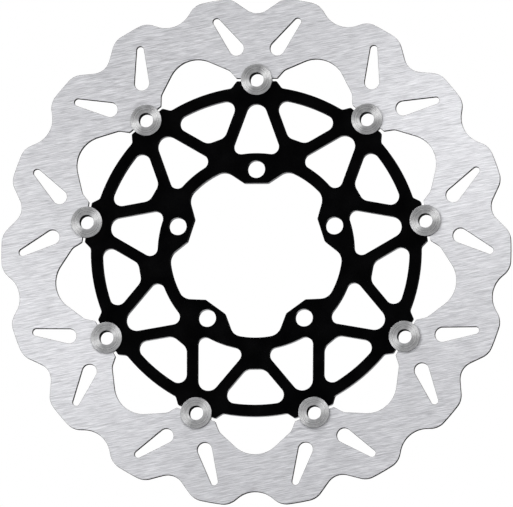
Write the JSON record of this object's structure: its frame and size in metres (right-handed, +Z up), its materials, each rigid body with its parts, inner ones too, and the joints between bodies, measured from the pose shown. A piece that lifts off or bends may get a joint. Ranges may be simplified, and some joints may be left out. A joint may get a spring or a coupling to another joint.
{
  "type": "floating brake disc",
  "caption": "Floating brake disc: a wave-edged slotted steel ring hung on a black alloy carrier by round bobbins with spring washers and circlips; the carrier bolts to a wheel hub.",
  "frame": {"origin": "on the disc's axis, in the middle of the brake ring's thickness, which is the centroid of the whole disc to within 0.2 mm", "axes": "+Y along the disc's axis towards the wheel hub, so the outboard face looks to -Y; +Z up through the first bobbin and the first bolt hole; +X to the right seen from the outboard side"},
  "size_m": [0.32, 0.0114, 0.3173],
  "materials": {
    "brake_ring": "fine linear brushing, satin",
    "carrier": "black anodised, satin",
    "bobbin": "turned, satin",
    "flat_washer": "zinc plated",
    "wave_spring": "bright spring steel",
    "circlip": "black oiled spring steel"
  },
  "bodies": {
    "carrier": {"carrier": "carrier"},
    "ring": {"brake_ring": "brake_ring"},
    "bobbin_1": {"bobbin_1": "bobbin", "flat_washer_1": "flat_washer", "wave_spring_1": "wave_spring", "circlip_1": "circlip"},
    "bobbin_2": {"bobbin_2": "bobbin", "flat_washer_2": "flat_washer", "wave_spring_2": "wave_spring", "circlip_2": "circlip"},
    "bobbin_3": {"bobbin_3": "bobbin", "flat_washer_3": "flat_washer", "wave_spring_3": "wave_spring", "circlip_3": "circlip"},
    "bobbin_4": {"bobbin_4": "bobbin", "flat_washer_4": "flat_washer", "wave_spring_4": "wave_spring", "circlip_4": "circlip"},
    "bobbin_5": {"bobbin_5": "bobbin", "flat_washer_5": "flat_washer", "wave_spring_5": "wave_spring", "circlip_5": "circlip"},
    "bobbin_6": {"bobbin_6": "bobbin", "flat_washer_6": "flat_washer", "wave_spring_6": "wave_spring", "circlip_6": "circlip"},
    "bobbin_7": {"bobbin_7": "bobbin", "flat_washer_7": "flat_washer", "wave_spring_7": "wave_spring", "circlip_7": "circlip"},
    "bobbin_8": {"bobbin_8": "bobbin", "flat_washer_8": "flat_washer", "wave_spring_8": "wave_spring", "circlip_8": "circlip"},
    "bobbin_9": {"bobbin_9": "bobbin", "flat_washer_9": "flat_washer", "wave_spring_9": "wave_spring", "circlip_9": "circlip"}
  },
  "joints": [
    {"name": "ring_float", "type": "slide", "parent": "carrier", "child": "ring", "axis": [0, 1, 0], "range_m": [-0.0003, 0.0003]},
    {"name": "bobbin_1_turn", "type": "hinge", "parent": "carrier", "child": "bobbin_1", "pos_m": [0, 0, 0.108], "axis": [0, 1, 0], "continuous": true},
    {"name": "bobbin_2_turn", "type": "hinge", "parent": "carrier", "child": "bobbin_2", "pos_m": [0.06942, 0, 0.08273], "axis": [0, 1, 0], "continuous": true},
    {"name": "bobbin_3_turn", "type": "hinge", "parent": "carrier", "child": "bobbin_3", "pos_m": [0.10636, 0, 0.01875], "axis": [0, 1, 0], "continuous": true},
    {"name": "bobbin_4_turn", "type": "hinge", "parent": "carrier", "child": "bobbin_4", "pos_m": [0.09353, 0, -0.054], "axis": [0, 1, 0], "continuous": true},
    {"name": "bobbin_5_turn", "type": "hinge", "parent": "carrier", "child": "bobbin_5", "pos_m": [0.03694, 0, -0.10149], "axis": [0, 1, 0], "continuous": true},
    {"name": "bobbin_6_turn", "type": "hinge", "parent": "carrier", "child": "bobbin_6", "pos_m": [-0.03694, 0, -0.10149], "axis": [0, 1, 0], "continuous": true},
    {"name": "bobbin_7_turn", "type": "hinge", "parent": "carrier", "child": "bobbin_7", "pos_m": [-0.09353, 0, -0.054], "axis": [0, 1, 0], "continuous": true},
    {"name": "bobbin_8_turn", "type": "hinge", "parent": "carrier", "child": "bobbin_8", "pos_m": [-0.10636, 0, 0.01875], "axis": [0, 1, 0], "continuous": true},
    {"name": "bobbin_9_turn", "type": "hinge", "parent": "carrier", "child": "bobbin_9", "pos_m": [-0.06942, 0, 0.08273], "axis": [0, 1, 0], "continuous": true}
  ]
}
